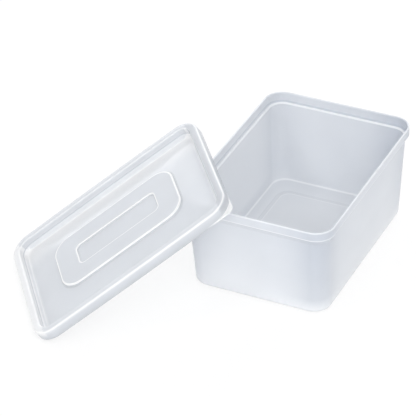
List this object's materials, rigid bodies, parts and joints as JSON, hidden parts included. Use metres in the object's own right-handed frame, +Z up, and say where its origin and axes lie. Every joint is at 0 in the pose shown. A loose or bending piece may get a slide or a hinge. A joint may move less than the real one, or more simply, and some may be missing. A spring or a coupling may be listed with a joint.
{
  "type": "empty condiment insert container with its lid",
  "caption": "Empty rectangular tub of milky translucent plastic with a stepped collar, for condiments in a serving insert, and its press-fit lid leaning on one corner of the rim.",
  "frame": {"origin": "centre of the tub's base, on the surface that it stands on", "axes": "+Z up, +X across the tub's short side away from the leaning lid, +Y along the tub's long side away from the end that the lid leans on"},
  "size_m": [0.2426, 0.2658, 0.0977],
  "materials": {
    "tub_plastic": "milky translucent moulded polypropylene, semi-gloss",
    "lid_plastic": "milky translucent moulded polypropylene, semi-gloss"
  },
  "bodies": {
    "root": {"tub": "tub_plastic", "lid": "lid_plastic"}
  },
  "joints": []
}
